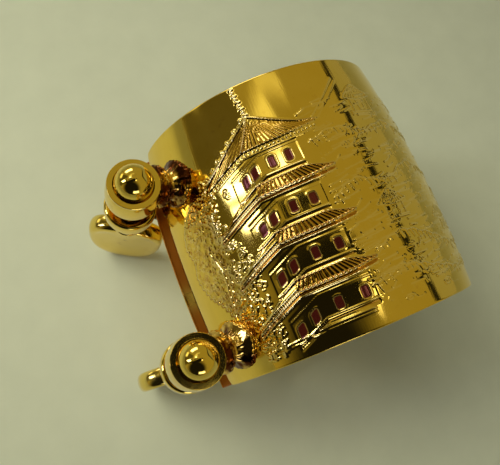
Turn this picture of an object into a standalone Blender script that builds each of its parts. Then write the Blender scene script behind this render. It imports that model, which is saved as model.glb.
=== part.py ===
"""Saxophone ligature: a springy brass band with two clamping screws.

The part lies on its side, as it is put down on a table: the band's axis runs along Y,
the slit and its posts are on the -X side, and the screws stand along Z, heads down.
The origin is on the table, under the middle of the whole object.
"""
import math

import bmesh
import bpy

MM = 0.001

# Band: a slightly barrel-shaped, tapered sleeve of thin sheet.
BAND_LENGTH = 24.8 * MM
SHEET = 0.55 * MM
WIDE_END_RADIUS = 13.55 * MM
NARROW_END_RADIUS = 12.88 * MM
BELLY = 0.67 * MM
PROFILE_POINTS = 9
BAND_STEPS = 128
SEAT_PROFILE_STEPS = 4

# Slit and flex line, as heights over the band's axis.
UPPER_LIP = 1.6 * MM
LOWER_LIP = -0.5 * MM
FLEX_GAP = 0.3 * MM

# Screw posts: one near each end of the band, each as far out as the taper puts it.
POSTS = {"front": (-16.95 * MM, -9.1 * MM), "rear": (-16.65 * MM, 7.1 * MM)}
TURN_STEPS = 40
JOIN_GAP = 0.1 * MM

# Threaded barrels, above the slit.
BARREL_TOP = 9.0 * MM
BARREL_BOTTOM = 5.9 * MM
BARREL_TOP_RADIUS = 2.33 * MM
BARREL_BOTTOM_RADIUS = 2.48 * MM
BARREL_EDGE = 0.2 * MM
BARREL_LIP_POINTS = 9
CUP_RADIUS = 1.97 * MM
CUP_DEPTH = 0.55 * MM
THREAD_BORE_RADIUS = 1.35 * MM
BALL_RADIUS = 1.78 * MM
BALL_POINTS = 16
BALL_RISE = 0.35 * MM
BALL_BORE_RADIUS = 1.25 * MM
BALL_BORE_TOP = 9.3 * MM

# Plain barrels, below the threaded ones: a wide collar on a narrow sleeve.
COLLAR_TOP = 3.4 * MM
COLLAR_HEIGHT = 2.2 * MM
COLLAR_RADIUS = 2.55 * MM
COLLAR_EDGE = 0.25 * MM
SLEEVE_RADIUS = 1.65 * MM
SLEEVE_BOTTOM = -1.5 * MM
PLAIN_BORE_RADIUS = 1.05 * MM

# Feet: turned spools that hold the barrels off the band.
THREADED_FOOT_HEIGHT = 7.5 * MM
THREADED_FOOT_SEAT = math.radians(24)
PLAIN_FOOT_HEIGHT = -0.6 * MM
PLAIN_FOOT_SEAT = math.radians(-9)
FOOT_BASE_RADIUS = 2.45 * MM
FOOT_BASE_HEIGHT = 0.55 * MM
FOOT_WAIST_RADIUS = 1.5 * MM
FOOT_WAIST_LENGTH = 0.3 * MM
FOOT_BEAD_RADIUS = 2.05 * MM
FOOT_BEAD_START = 0.15 * MM
FOOT_BEAD_END = 0.5 * MM
FOOT_STEM_SHARE = 0.75
PLAIN_FOOT_SCALE = 0.45
SEAT_DEPTH = 1.2 * MM

# Thumbscrews.
SHANK_RADIUS = 0.9 * MM
SHANK_CHAMFER = 0.25 * MM
SHANK_TOP = 8.1 * MM
HEAD_COLLAR_RADIUS = 1.5 * MM
HEAD_COLLAR_TOP = -1.6 * MM
HEAD_COLLAR_BOTTOM = -3.1 * MM
PADDLE_HALF_WIDTH = 4.1 * MM
PADDLE_THICKNESS = 1.9 * MM
PADDLE_TOP = -3.2 * MM
PADDLE_WIDEST = -6.4 * MM
PADDLE_FULLNESS = 0.8
PADDLE_POINTS = 36
PADDLE_EDGE = 0.5 * MM
PADDLE_TURNS = {"front": math.radians(-4), "rear": math.radians(-30)}

GOLD = (0.83, 0.6, 0.2, 1.0)
SHEET_ROUGHNESS, TURNED_ROUGHNESS, SCREW_ROUGHNESS = 0.12, 0.1, 0.2
MERGE_DISTANCE = 0.01 * MM


def band_radius(y):
    """Outer radius of the band at y, measured from its middle."""
    along = y / BAND_LENGTH + 0.5
    taper = (NARROW_END_RADIUS - WIDE_END_RADIUS) * along
    return WIDE_END_RADIUS + taper + BELLY * 4 * along * (1 - along)


# The band lies on its widest ring, so its axis is that radius over the table.
WIDEST_ALONG = 0.5 + (NARROW_END_RADIUS - WIDE_END_RADIUS) / (8 * BELLY)
AXIS_HEIGHT = band_radius(BAND_LENGTH * (WIDEST_ALONG - 0.5))
PADDLE_BOTTOM = -AXIS_HEIGHT

# The whole object's middle along X and Y, so that the origin is under it.
REACH_LEFT = POSTS["front"][0] - PADDLE_HALF_WIDTH
MIDDLE_X = (REACH_LEFT + AXIS_HEIGHT) / 2


def clear_scene():
    for old in list(bpy.data.objects):
        bpy.data.objects.remove(old, do_unlink=True)


def new_collection(name):
    collection = bpy.data.collections.new(name)
    bpy.context.scene.collection.children.link(collection)
    return collection


def metal(name, roughness):
    material = bpy.data.materials.new(name)
    material.use_nodes = True
    shader = material.node_tree.nodes["Principled BSDF"]
    shader.inputs["Base Color"].default_value = GOLD
    shader.inputs["Metallic"].default_value = 1.0
    shader.inputs["Roughness"].default_value = roughness
    return material


def place(x, y, z):
    """A point given from the band's centre, in the part's own frame."""
    return (x - MIDDLE_X, y, z + AXIS_HEIGHT)


def add_object(name, mesh, collection, location=(0, 0, 0), rotation=(0, 0, 0)):
    thing = bpy.data.objects.new(name, mesh)
    thing.location = location
    thing.rotation_euler = rotation
    collection.objects.link(thing)
    return thing


def turned(name, profile, collection, location, rotation=(0, 0, 0), closed=False, steps=TURN_STEPS):
    """Turn a list of (radius, height) points about Z. Outer sides run from top to bottom."""
    mesh = bpy.data.meshes.new(name)
    points = [(radius, 0.0, height) for radius, height in profile]
    edges = [(i, i + 1) for i in range(len(points) - 1)]
    if closed:
        edges.append((len(points) - 1, 0))
    mesh.from_pydata(points, edges, [])
    thing = add_object(name, mesh, collection, location, rotation)
    screw = thing.modifiers.new("Turn", "SCREW")
    screw.axis = "Z"
    screw.steps = steps
    screw.render_steps = steps
    screw.use_merge_vertices = True
    screw.merge_threshold = MERGE_DISTANCE
    screw.use_smooth_shade = True
    return thing


def cut(thing, cutter):
    boolean = thing.modifiers.new("Cut " + cutter.name, "BOOLEAN")
    boolean.operation = "DIFFERENCE"
    boolean.solver = "EXACT"
    boolean.object = cutter


def as_cutter(thing):
    thing.hide_render = True
    thing.display_type = "WIRE"


def extruded_outline(name, outline, depth, collection, location=(0, 0, 0), rotation=(0, 0, 0)):
    """A flat outline in the object's XZ plane, extruded by depth along its Y, half each way."""
    mesh = bpy.data.meshes.new(name)
    body = bmesh.new()
    corners = [body.verts.new((x, -depth / 2, z)) for x, z in outline]
    face = body.faces.new(corners)
    grown = bmesh.ops.extrude_face_region(body, geom=[face])
    moved = [item for item in grown["geom"] if isinstance(item, bmesh.types.BMVert)]
    bmesh.ops.translate(body, verts=moved, vec=(0, depth, 0))
    bmesh.ops.recalc_face_normals(body, faces=body.faces)
    body.to_mesh(mesh)
    body.free()
    return add_object(name, mesh, collection, location, rotation)


def arc(radius, centre, start, end, points):
    """Points on an arc, angles in degrees from the first axis."""
    result = []
    for i in range(points):
        angle = math.radians(start + (end - start) * i / (points - 1))
        result.append((centre[0] + radius * math.cos(angle), centre[1] + radius * math.sin(angle)))
    return result


def make_band_half(name, lip, upper, parts, cutters, material):
    """One half of the sleeve: from its slit lip round to the flex line at the back."""
    ys = [BAND_LENGTH * (i / (PROFILE_POINTS - 1) - 0.5) for i in range(PROFILE_POINTS)]
    outside = [(band_radius(y), y) for y in reversed(ys)]
    inside = [(band_radius(y) - SHEET, y) for y in ys]
    band = turned(name, outside + inside, parts, place(0, 0, 0), (math.radians(-90), 0, 0),
                  closed=True, steps=BAND_STEPS)
    reach = 2 * WIDE_END_RADIUS
    sign = 1 if upper else -1
    flex_edge = sign * FLEX_GAP / 2
    outline = [(-reach, lip), (0, lip), (0, flex_edge), (reach, flex_edge),
               (reach, -sign * reach), (-reach, -sign * reach)]
    other_half = extruded_outline(name + "_trim", outline, 2 * BAND_LENGTH, cutters, place(0, 0, 0))
    as_cutter(other_half)
    cut(band, other_half)
    band.data.materials.append(material)
    return band


def make_threaded_barrel(name, post, parts, material):
    """A barrel with a cup for its ball at the top and the threaded bore right through it."""
    floor = BARREL_TOP - CUP_DEPTH
    lip_radius = (BARREL_TOP_RADIUS - CUP_RADIUS) / 2
    lip_centre = (CUP_RADIUS + lip_radius, BARREL_TOP - lip_radius)
    lip = list(reversed(arc(lip_radius, lip_centre, 0, 180, BARREL_LIP_POINTS)))
    profile = [(THREAD_BORE_RADIUS, floor), (CUP_RADIUS - BARREL_EDGE, floor)]
    profile += lip
    profile += [(BARREL_BOTTOM_RADIUS, BARREL_BOTTOM + BARREL_EDGE),
                (BARREL_BOTTOM_RADIUS - BARREL_EDGE, BARREL_BOTTOM),
                (THREAD_BORE_RADIUS, BARREL_BOTTOM)]
    barrel = turned(name, profile, parts, place(*post, 0), closed=True)
    barrel.data.materials.append(material)
    return barrel


def make_ball(name, post, parts, material):
    """The ball finial: a cap, cut flat on the cup's floor and bored for the screw's end."""
    seat = BARREL_TOP - CUP_DEPTH + JOIN_GAP
    centre = BARREL_TOP + BALL_RISE
    low = math.degrees(math.asin((seat - centre) / BALL_RADIUS))
    profile = arc(BALL_RADIUS, (0, centre), 90, low, BALL_POINTS)
    profile[0] = (0, centre + BALL_RADIUS)
    profile += [(BALL_BORE_RADIUS, seat), (BALL_BORE_RADIUS, BALL_BORE_TOP), (0, BALL_BORE_TOP)]
    ball = turned(name, profile, parts, place(*post, 0))
    ball.data.materials.append(material)
    return ball


def make_plain_barrel(name, post, parts, material):
    """A barrel with a wide collar at the slit side and a clear bore for the shank."""
    collar_bottom = COLLAR_TOP - COLLAR_HEIGHT
    profile = [(PLAIN_BORE_RADIUS, COLLAR_TOP),
               (COLLAR_RADIUS - COLLAR_EDGE, COLLAR_TOP),
               (COLLAR_RADIUS, COLLAR_TOP - COLLAR_EDGE),
               (COLLAR_RADIUS, collar_bottom + 2 * COLLAR_EDGE),
               (COLLAR_RADIUS - COLLAR_EDGE, collar_bottom + COLLAR_EDGE),
               (SLEEVE_RADIUS + COLLAR_EDGE, collar_bottom),
               (SLEEVE_RADIUS, collar_bottom - COLLAR_EDGE),
               (SLEEVE_RADIUS, SLEEVE_BOTTOM),
               (PLAIN_BORE_RADIUS, SLEEVE_BOTTOM)]
    barrel = turned(name, profile, parts, place(*post, 0), closed=True)
    barrel.data.materials.append(material)
    return barrel


def make_foot(name, post, height, seat_angle, barrel_radius, scale, parts, cutters, material):
    """A turned spool from its seat on the band to the barrel's axis at the given height."""
    post_x, y = post
    surface = band_radius(y)
    seat_x = -surface * math.cos(seat_angle)
    seat_z = surface * math.sin(seat_angle)
    length = math.hypot(post_x - seat_x, height - seat_z)
    tilt = math.atan2(height - seat_z, seat_x - post_x)
    bead = FOOT_BEAD_RADIUS * scale
    waist = FOOT_WAIST_RADIUS * scale
    base = FOOT_BASE_RADIUS * scale
    stem = FOOT_STEM_SHARE * bead
    shoulder = length - barrel_radius
    middle = (FOOT_BASE_HEIGHT + shoulder) / 2
    profile = [(0, length),
               (stem, length),
               (stem, shoulder + JOIN_GAP),
               (bead, shoulder - FOOT_BEAD_START),
               (bead, shoulder - FOOT_BEAD_END),
               (waist, middle),
               (waist, middle - FOOT_WAIST_LENGTH),
               (base, FOOT_BASE_HEIGHT),
               (base, -SEAT_DEPTH),
               (0, -SEAT_DEPTH)]
    rotation = (0, tilt - math.pi / 2, 0)
    foot = turned(name, profile, parts, place(seat_x, y, seat_z), rotation)
    room = barrel_radius + JOIN_GAP
    barrel_room = turned(name + "_barrel_room",
                         [(0, 2 * BARREL_TOP), (room, 2 * BARREL_TOP),
                          (room, -2 * BARREL_TOP), (0, -2 * BARREL_TOP)],
                         cutters, place(*post, 0))
    as_cutter(barrel_room)
    reach = 2 * FOOT_BASE_RADIUS
    ys = [y + reach * (i / SEAT_PROFILE_STEPS - 1) for i in range(2 * SEAT_PROFILE_STEPS + 1)]
    sleeve = [(band_radius(at) + JOIN_GAP, at - y) for at in reversed(ys)]
    seat_room = turned(name + "_seat_room", [(0, sleeve[0][1])] + sleeve + [(0, sleeve[-1][1])],
                       cutters, place(0, y, 0), (math.radians(-90), 0, 0), steps=BAND_STEPS)
    as_cutter(seat_room)
    cut(foot, barrel_room)
    cut(foot, seat_room)
    foot.data.materials.append(material)
    return foot


def make_screw(prefix, post, turn, parts, material):
    """A thumbscrew: threaded shank with its collar, and the flat thumb paddle under it."""
    profile = [(0, SHANK_TOP),
               (SHANK_RADIUS - SHANK_CHAMFER, SHANK_TOP),
               (SHANK_RADIUS, SHANK_TOP - SHANK_CHAMFER),
               (SHANK_RADIUS, HEAD_COLLAR_TOP),
               (HEAD_COLLAR_RADIUS, HEAD_COLLAR_TOP),
               (HEAD_COLLAR_RADIUS, HEAD_COLLAR_BOTTOM),
               (0, HEAD_COLLAR_BOTTOM)]
    shank = turned(prefix + "_screw_shank", profile, parts, place(*post, 0), (0, 0, turn))
    shank.data.materials.append(material)

    outline = []
    for i in range(PADDLE_POINTS):
        angle = 2 * math.pi * i / PADDLE_POINTS
        end = PADDLE_TOP if angle < math.pi else PADDLE_BOTTOM
        side = math.copysign(abs(math.cos(angle)) ** PADDLE_FULLNESS, math.cos(angle))
        rise = abs(math.sin(angle)) ** PADDLE_FULLNESS
        outline.append((PADDLE_HALF_WIDTH * side, PADDLE_WIDEST + (end - PADDLE_WIDEST) * rise))
    paddle = extruded_outline(prefix + "_thumb_paddle", outline, PADDLE_THICKNESS, parts,
                              place(*post, 0), (0, 0, turn))
    bevel = paddle.modifiers.new("Edge", "BEVEL")
    bevel.width = PADDLE_EDGE
    bevel.segments = 3
    paddle.data.materials.append(material)
    return shank, paddle


def main():
    clear_scene()
    parts = new_collection("saxophone_ligature")
    cutters = new_collection("cutters")
    sheet_gold = metal("gold_plated_sheet", SHEET_ROUGHNESS)
    turned_gold = metal("gold_plated_turned", TURNED_ROUGHNESS)
    screw_gold = metal("gold_plated_screw", SCREW_ROUGHNESS)

    make_band_half("band_upper_half", UPPER_LIP, True, parts, cutters, sheet_gold)
    make_band_half("band_lower_half", LOWER_LIP, False, parts, cutters, sheet_gold)
    for prefix, post in POSTS.items():
        make_threaded_barrel(prefix + "_threaded_barrel", post, parts, turned_gold)
        make_ball(prefix + "_ball_finial", post, parts, turned_gold)
        make_foot(prefix + "_threaded_foot", post, THREADED_FOOT_HEIGHT, THREADED_FOOT_SEAT,
                  BARREL_BOTTOM_RADIUS, 1.0, parts, cutters, turned_gold)
        make_plain_barrel(prefix + "_plain_barrel", post, parts, turned_gold)
        make_foot(prefix + "_plain_foot", post, PLAIN_FOOT_HEIGHT, PLAIN_FOOT_SEAT,
                  SLEEVE_RADIUS, PLAIN_FOOT_SCALE, parts, cutters, turned_gold)
        make_screw(prefix, post, PADDLE_TURNS[prefix], parts, screw_gold)


main()
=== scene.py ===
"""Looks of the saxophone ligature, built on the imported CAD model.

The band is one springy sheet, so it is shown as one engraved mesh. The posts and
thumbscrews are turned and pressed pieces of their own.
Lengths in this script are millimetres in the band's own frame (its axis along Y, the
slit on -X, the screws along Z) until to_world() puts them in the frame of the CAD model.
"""

import math
from functools import partial

import bpy
import numpy as np
from mathutils import Matrix, Vector


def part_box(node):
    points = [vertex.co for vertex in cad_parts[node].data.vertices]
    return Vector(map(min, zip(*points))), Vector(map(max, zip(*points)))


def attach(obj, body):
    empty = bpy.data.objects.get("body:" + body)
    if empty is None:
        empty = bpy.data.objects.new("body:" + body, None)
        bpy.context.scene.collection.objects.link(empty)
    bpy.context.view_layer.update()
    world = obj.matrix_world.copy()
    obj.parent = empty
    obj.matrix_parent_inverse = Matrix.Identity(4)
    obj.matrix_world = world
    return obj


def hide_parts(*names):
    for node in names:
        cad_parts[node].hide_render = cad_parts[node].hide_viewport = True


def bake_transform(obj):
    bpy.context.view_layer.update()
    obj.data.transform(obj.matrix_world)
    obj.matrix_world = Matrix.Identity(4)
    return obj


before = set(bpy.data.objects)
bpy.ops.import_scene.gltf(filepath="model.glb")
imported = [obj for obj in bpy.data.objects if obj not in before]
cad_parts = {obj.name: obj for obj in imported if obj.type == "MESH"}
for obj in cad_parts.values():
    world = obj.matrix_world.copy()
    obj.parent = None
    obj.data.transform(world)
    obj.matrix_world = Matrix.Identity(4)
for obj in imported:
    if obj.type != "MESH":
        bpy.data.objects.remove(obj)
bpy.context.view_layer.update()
MM = 0.001

# ---------------------------------------------------------------- where the CAD puts things
UPPER_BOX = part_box("band_upper_half")
LONGEST_RADIUS = UPPER_BOX[1].z / 2
AXIS = Vector((UPPER_BOX[1].x - LONGEST_RADIUS, 0, LONGEST_RADIUS))


def post_of(prefix):
    """The screw axis of a post, in millimetres from the band's axis."""
    low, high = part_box(prefix + "_threaded_barrel")
    middle = (low + high) / 2 - AXIS
    return middle.x / MM, middle.y / MM


POSTS = {prefix: post_of(prefix) for prefix in ("front", "rear")}

# Sizes repeated from the CAD, in millimetres.
LENGTH = 24.8
SHEET = 0.55
WIDE_END, NARROW_END, BELLY = 13.55, 12.88, 0.67
UPPER_LIP, LOWER_LIP = 1.6, -0.5
PADDLE_TURNS = {"front": math.radians(-4), "rear": math.radians(-30)}

# ---------------------------------------------------------------- helpers
FILLET_SHARE = 0.45
SMALLEST_FILLET = 1e-4
END_CAP_RADIUS = 0.02


def to_world(points):
    return np.asarray(points, float) * MM + np.array(AXIS)


def smooth(edge0, edge1, x):
    t = np.clip((x - edge0) / (edge1 - edge0), 0, 1)
    return t * t * (3 - 2 * t)


def band_radius(y):
    along = y / LENGTH + 0.5
    return WIDE_END + (NARROW_END - WIDE_END) * along + BELLY * 4 * along * (1 - along)


def band_slope(y):
    along = y / LENGTH + 0.5
    return ((NARROW_END - WIDE_END) + BELLY * 4 * (1 - 2 * along)) / LENGTH


def build_mesh(name, points, quads, polygons=(), attributes=None, sharp=None):
    """A mesh from world points, an array of quads and a list of longer polygons."""
    mesh = bpy.data.meshes.new(name)
    quads = np.asarray(quads, np.int32).reshape(-1, 4)
    extra = [i for polygon in polygons for i in polygon]
    totals = np.concatenate([np.full(len(quads), 4), [len(p) for p in polygons]]).astype(np.int32)
    starts = np.concatenate([[0], np.cumsum(totals)[:-1]]).astype(np.int32)
    corners = np.concatenate([quads.ravel(), np.array(extra, np.int32)]).astype(np.int32)
    mesh.vertices.add(len(points))
    mesh.vertices.foreach_set("co", np.asarray(points, np.float32).ravel())
    mesh.loops.add(len(corners))
    mesh.loops.foreach_set("vertex_index", corners)
    mesh.polygons.add(len(totals))
    mesh.polygons.foreach_set("loop_start", starts)
    mesh.polygons.foreach_set("loop_total", totals)
    mesh.update(calc_edges=True)
    mesh.validate()
    mesh.polygons.foreach_set("use_smooth", np.ones(len(mesh.polygons), bool))
    if sharp is not None:
        mesh.set_sharp_from_angle(angle=math.radians(sharp))
    for key, values in (attributes or {}).items():
        layer = mesh.attributes.new(key, "FLOAT", "POINT")
        layer.data.foreach_set("value", np.asarray(values, np.float32))
    thing = bpy.data.objects.new(name, mesh)
    bpy.context.scene.collection.objects.link(thing)
    return thing


def grid_quads(rows, columns, closed=False, offset=0, flip=False):
    """Quads of a grid whose index is row * columns + column."""
    i = np.arange(rows - 1)[:, None]
    j = np.arange(columns if closed else columns - 1)[None, :]
    k = (j + 1) % columns
    a, b, c, d = i * columns + j, i * columns + k, (i + 1) * columns + k, (i + 1) * columns + j
    faces = np.stack([a, b, c, d], -1).reshape(-1, 4) + offset
    return faces[:, ::-1] if flip else faces


def filleted(profile, radius, steps=4):
    """The profile with each inner corner rounded by an arc-like curve."""
    points = [np.array(p[:2], float) for p in profile]
    radii = [p[2] if len(p) > 2 else radius for p in profile]
    result = [points[0]]
    for before, corner, after, r in zip(points, points[1:], points[2:], radii[1:]):
        back, on = before - corner, after - corner
        r = min(r, min(np.linalg.norm(back), np.linalg.norm(on)) * FILLET_SHARE)
        if r < SMALLEST_FILLET:
            result.append(corner)
            continue
        start = corner + back / np.linalg.norm(back) * r
        end = corner + on / np.linalg.norm(on) * r
        for t in np.linspace(0, 1, steps + 1):
            result.append((1 - t) ** 2 * start + 2 * t * (1 - t) * corner + t * t * end)
    result.append(points[-1])
    return np.array(result)


def turned_points(profile, steps, shape=None):
    """Rings of points about Z. shape(r, angle, z) may move them and returns x, y, z."""
    a, r = np.meshgrid(np.arange(steps) * 2 * np.pi / steps, profile[:, 0])
    z = profile[:, 1:] * np.ones(steps)
    points = shape(r, a, z) if shape else (r * np.cos(a), r * np.sin(a), z)
    return np.stack(points, -1).reshape(-1, 3)


def turned(name, profile, origin, body, nodes, material, steps=112, shape=None,
           turn=None, sharp=38):
    """A turned piece from a closed or axis-to-axis profile of (radius, height)."""
    rings = np.array(profile, float)
    on_axis = rings[0, 0] < 1e-6 and rings[-1, 0] < 1e-6
    if on_axis:
        rings[0, 0] = rings[-1, 0] = END_CAP_RADIUS
    points = turned_points(rings, steps, shape)
    quads = grid_quads(len(rings), steps, closed=True)
    polygons = []
    if on_axis:
        last = (len(rings) - 1) * steps
        polygons = [list(reversed(range(steps))), [last + i for i in range(steps)]]
    else:
        top = np.arange(steps)
        back = (len(rings) - 1) * steps
        closing = np.stack([back + top, back + (top + 1) % steps, (top + 1) % steps, top], -1)
        quads = np.concatenate([quads, closing])
    if turn is not None:
        points = points @ np.array(turn.to_3x3()).T
    points = points + np.array(origin, float)
    thing = build_mesh(name, to_world(points), quads, polygons, sharp=sharp)
    finish_piece(thing, body, nodes, material)


def finish_piece(thing, body, nodes, material):
    fix_normals(thing)
    thing.data.materials.append(material)
    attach(thing, body)
    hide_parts(*nodes)


def fix_normals(thing):
    """Turns the faces of a closed mesh outwards if the volume it encloses is negative."""
    mesh = thing.data
    co = np.zeros(len(mesh.vertices) * 3, np.float32)
    mesh.vertices.foreach_get("co", co)
    co = co.reshape(-1, 3).astype(float)
    mesh.calc_loop_triangles()
    tri = np.zeros(len(mesh.loop_triangles) * 3, np.int32)
    mesh.loop_triangles.foreach_get("vertices", tri)
    a, b, c = (co[tri.reshape(-1, 3)[:, k]] - co.mean(0) for k in range(3))
    if np.einsum("ij,ij->i", a, np.cross(b, c)).sum() < 0:
        mesh.flip_normals()


# ---------------------------------------------------------------- shader nodes
def math_node(tree, operation, *values):
    """A Math node whose values are numbers or sockets."""
    node = tree.nodes.new("ShaderNodeMath")
    node.operation = operation
    for socket, value in zip(node.inputs, values):
        if isinstance(value, (int, float)):
            socket.default_value = value
        else:
            tree.links.new(value, socket)
    return node.outputs[0]


def map_range(tree, value, low, high, out_low, out_high, kind="LINEAR"):
    node = tree.nodes.new("ShaderNodeMapRange")
    node.interpolation_type = kind
    tree.links.new(value, node.inputs["Value"])
    numbers = {"From Min": low, "From Max": high, "To Min": out_low, "To Max": out_high}
    for key, number in numbers.items():
        node.inputs[key].default_value = number
    return node.outputs["Result"]


def mixed(tree, factor, first, second):
    """The first colour going over into the second. A colour is a tuple or a socket."""
    node = tree.nodes.new("ShaderNodeMix")
    node.data_type = "RGBA"
    tree.links.new(factor, node.inputs["Factor"])
    for socket, value in zip([s for s in node.inputs if s.type == "RGBA"], (first, second)):
        if isinstance(value, tuple):
            socket.default_value = value + (1,)
        else:
            tree.links.new(value, socket)
    return [s for s in node.outputs if s.type == "RGBA"][0]


def noise(tree, scale, detail, stretch=(1, 1, 1), rough=0.55):
    mapping = tree.nodes.new("ShaderNodeMapping")
    mapping.inputs["Scale"].default_value = stretch
    where = tree.nodes.new("ShaderNodeTexCoord")
    tree.links.new(where.outputs["Object"], mapping.inputs["Vector"])
    texture = tree.nodes.new("ShaderNodeTexNoise")
    for key, number in (("Scale", scale), ("Detail", detail), ("Roughness", rough)):
        texture.inputs[key].default_value = number
    tree.links.new(mapping.outputs["Vector"], texture.inputs["Vector"])
    return texture.outputs["Fac"]


def new_material(name):
    """A material, its node tree and its shader."""
    material = bpy.data.materials.new(name)
    material.use_nodes = True
    return material, material.node_tree, material.node_tree.nodes["Principled BSDF"]


# ---------------------------------------------------------------- materials
LACQUER = (0.10, 0.014, 0.007)
# The pale colour painted on the raised lines of the engraving as a highlight.
PAINTED_HIGHLIGHT = (0.97, 0.77, 0.36)
# The dark red colour painted on the cut face at the slit as shade.
PAINTED_CUT_FACE_SHADE = (0.60, 0.19, 0.02)
CLOUD_SCALE, CLOUD_RANGE = 260, (0.35, 0.65)
PALER = (1.05, 1.07, 1.3)
GLOSS_SCALE, GLOSS_RANGE, GLOSS_SPREAD = 420, (0.3, 0.7), (0.75, 1.35)
SAWN_ROUGHNESS, LACQUER_METALLIC = 0.42, 0.55
SCRATCH_DEPTH, RIPPLE_DEPTH, RIPPLE_SCALE = 0.00001, 0.00002, 520
ALONG_THE_BAND, ROUND_THE_PIECE = (1, 0.06, 1), (0.12, 0.12, 1)
LIGHT_STAIN = (900, 0.62, 0.75, 0.25)


def gold(name, base, tarnish_and_shade, roughness, scratch, grain, wave, use_relief=False, rings=False,
         stain_and_shade=LIGHT_STAIN):
    """Polished gold plate: fine polishing marks, random stains and uneven gloss. On the engraved
    sheet also painted shade in the recesses and on the cut face, and painted highlights on ridges.

    base and tarnish are colours, tarnish that of the stains and of the painted shade in the
    recesses. scratch and grain are the strength and scale of the polishing marks, wave the strength
    of the ripple, and stain a scale, a start, an end and a strength of the stains, which on the
    feet are painted shade.
    """
    material, tree, shader = new_material(name)
    nodes, links = tree.nodes, tree.links
    shader.inputs["Metallic"].default_value = 1.0

    def painted(layer):
        attribute = nodes.new("ShaderNodeAttribute")
        attribute.attribute_name = layer
        return attribute.outputs["Fac"]

    paler = tuple(min(1.0, c * k) for c, k in zip(base, PALER))
    colour = mixed(tree, map_range(tree, noise(tree, CLOUD_SCALE, 3), *CLOUD_RANGE, 0, 1), base, paler)
    scale, low, high, strength = stain_and_shade
    stain_and_shade_mask = map_range(tree, noise(tree, scale, 4, rough=0.6), low, high, 0, strength)
    colour = mixed(tree, stain_and_shade_mask, colour, tarnish_and_shade)
    # On the engraved sheet: painted shade on the cut face, painted highlights on the ridges, painted
    # shade in the recesses, and lacquer in the windows.
    if use_relief:
        for layer, tint in (("sawn_and_shaded", PAINTED_CUT_FACE_SHADE), ("painted_highlight", PAINTED_HIGHLIGHT), ("recess", tarnish_and_shade), ("lacquer", LACQUER)):
            colour = mixed(tree, painted(layer), colour, tint)
    links.new(colour, shader.inputs["Base Color"])

    gloss = map_range(tree, noise(tree, GLOSS_SCALE, 4), *GLOSS_RANGE,
                      *(roughness * k for k in GLOSS_SPREAD))
    if use_relief:
        gloss = math_node(tree, "MULTIPLY_ADD", painted("sawn_and_shaded"), SAWN_ROUGHNESS, gloss)
        metallic = map_range(tree, painted("lacquer"), 0.0, 1.0, 1.0, LACQUER_METALLIC)
        links.new(metallic, shader.inputs["Metallic"])
    links.new(gloss, shader.inputs["Roughness"])

    marks = noise(tree, grain, 3, ROUND_THE_PIECE if rings else ALONG_THE_BAND)
    normal = None
    for strength, depth, height in ((scratch, SCRATCH_DEPTH, marks),
                                    (wave, RIPPLE_DEPTH, noise(tree, RIPPLE_SCALE, 1))):
        bump = nodes.new("ShaderNodeBump")
        bump.inputs["Strength"].default_value = strength
        bump.inputs["Distance"].default_value = depth
        links.new(height, bump.inputs["Height"])
        if normal is not None:
            links.new(normal, bump.inputs["Normal"])
        normal = bump.outputs["Normal"]
    links.new(normal, shader.inputs["Normal"])
    return material


# The colour of the random stains, and also the painted shade in the engraving's grooves and recesses.
TARNISH_AND_GROOVE_SHADE = (0.44, 0.15, 0.02)
SHEET_GOLD = gold("polished_sheet_gold", base=(0.88, 0.61, 0.10), tarnish_and_shade=TARNISH_AND_GROOVE_SHADE,
                  roughness=0.07, scratch=0.35, grain=5200, wave=0.15, use_relief=True)
TURNED_GOLD = gold("polished_turned_gold", base=(0.88, 0.63, 0.12), tarnish_and_shade=TARNISH_AND_GROOVE_SHADE,
                   roughness=0.06, scratch=0.3, grain=9000, wave=0.05, rings=True)
# The feet are darkened in large blotches of painted shade.
FOOT_GOLD = gold("foot_gold_with_painted_shade", base=(0.86, 0.55, 0.12), tarnish_and_shade=(0.08, 0.010, 0.003),
                 roughness=0.09, scratch=0.4, grain=7000, wave=0.4, stain_and_shade=(400, 0.42, 0.54, 0.96))
SCREW_GOLD = gold("polished_screw_gold", base=(0.86, 0.63, 0.14), tarnish_and_shade=TARNISH_AND_GROOVE_SHADE,
                  roughness=0.13, scratch=0.5, grain=6000, wave=0.1)

# ---------------------------------------------------------------- the engraving
# A tiered pavilion in a garden, with hills and clouds on its far side. It is drawn on the
# unrolled band: u is the arc length from the slit side over the top, and v is Y. Left of a
# fold the drawing slants down, so q is v with the slant taken out.
ARC_RADIUS = 13.6
EAVE_TOP, STOREY, TIERS = 6.1, 4.4, 4
EAVE_FOLD, WALL_FOLD = 13.7, 15.0
SLANT, UPTURN, UPTURN_FROM = 0.42, 0.02, 17
APEX = (15.35, 9.0)
LEFT_TIP, RIGHT_TIP = 8.8, 21.0
WALL_LEFT, WALL_RIGHT = 11.9, 18.6
WINDOW_CORNER, WINDOW_DEPTH, WINDOW_HALF = 0.24, 0.02, (0.37, 0.58)
LEFT_HIP = ((13.1, 7.35), (11.0, 5.85), (9.2, 4.75))
RIGHT_HIP = ((17.4, 7.85), (19.4, 6.95), (21.2, 6.6))
SPIRE_RINGS, SPIRE_STEP = 9, 0.36
CROWN = ((8.3, 4.6), (6.5, 4.1), (5.0, 2.9), (4.0, 1.1), (4.5, -0.6), (4.0, -2.2), (4.9, -4.2),
         (6.3, -5.6), (7.4, -7.6), (8.2, -9.8))
TRUNK = ((8.0, -8.6), (7.4, -5.5), (7.7, -3.0), (6.9, -0.5))
PAVILIONS = ((26.9, 7.6, 1.0, 0.08), (24.6, -3.0, 0.85, 0.08), (31.4, -5.4, 0.9, 0.07))
RIDGES = (((20.9, 6.8), (22.8, 8.4), (24.8, 10.2)), ((21.3, 6.5), (23.2, 8.1), (25.2, 9.9)))
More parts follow.
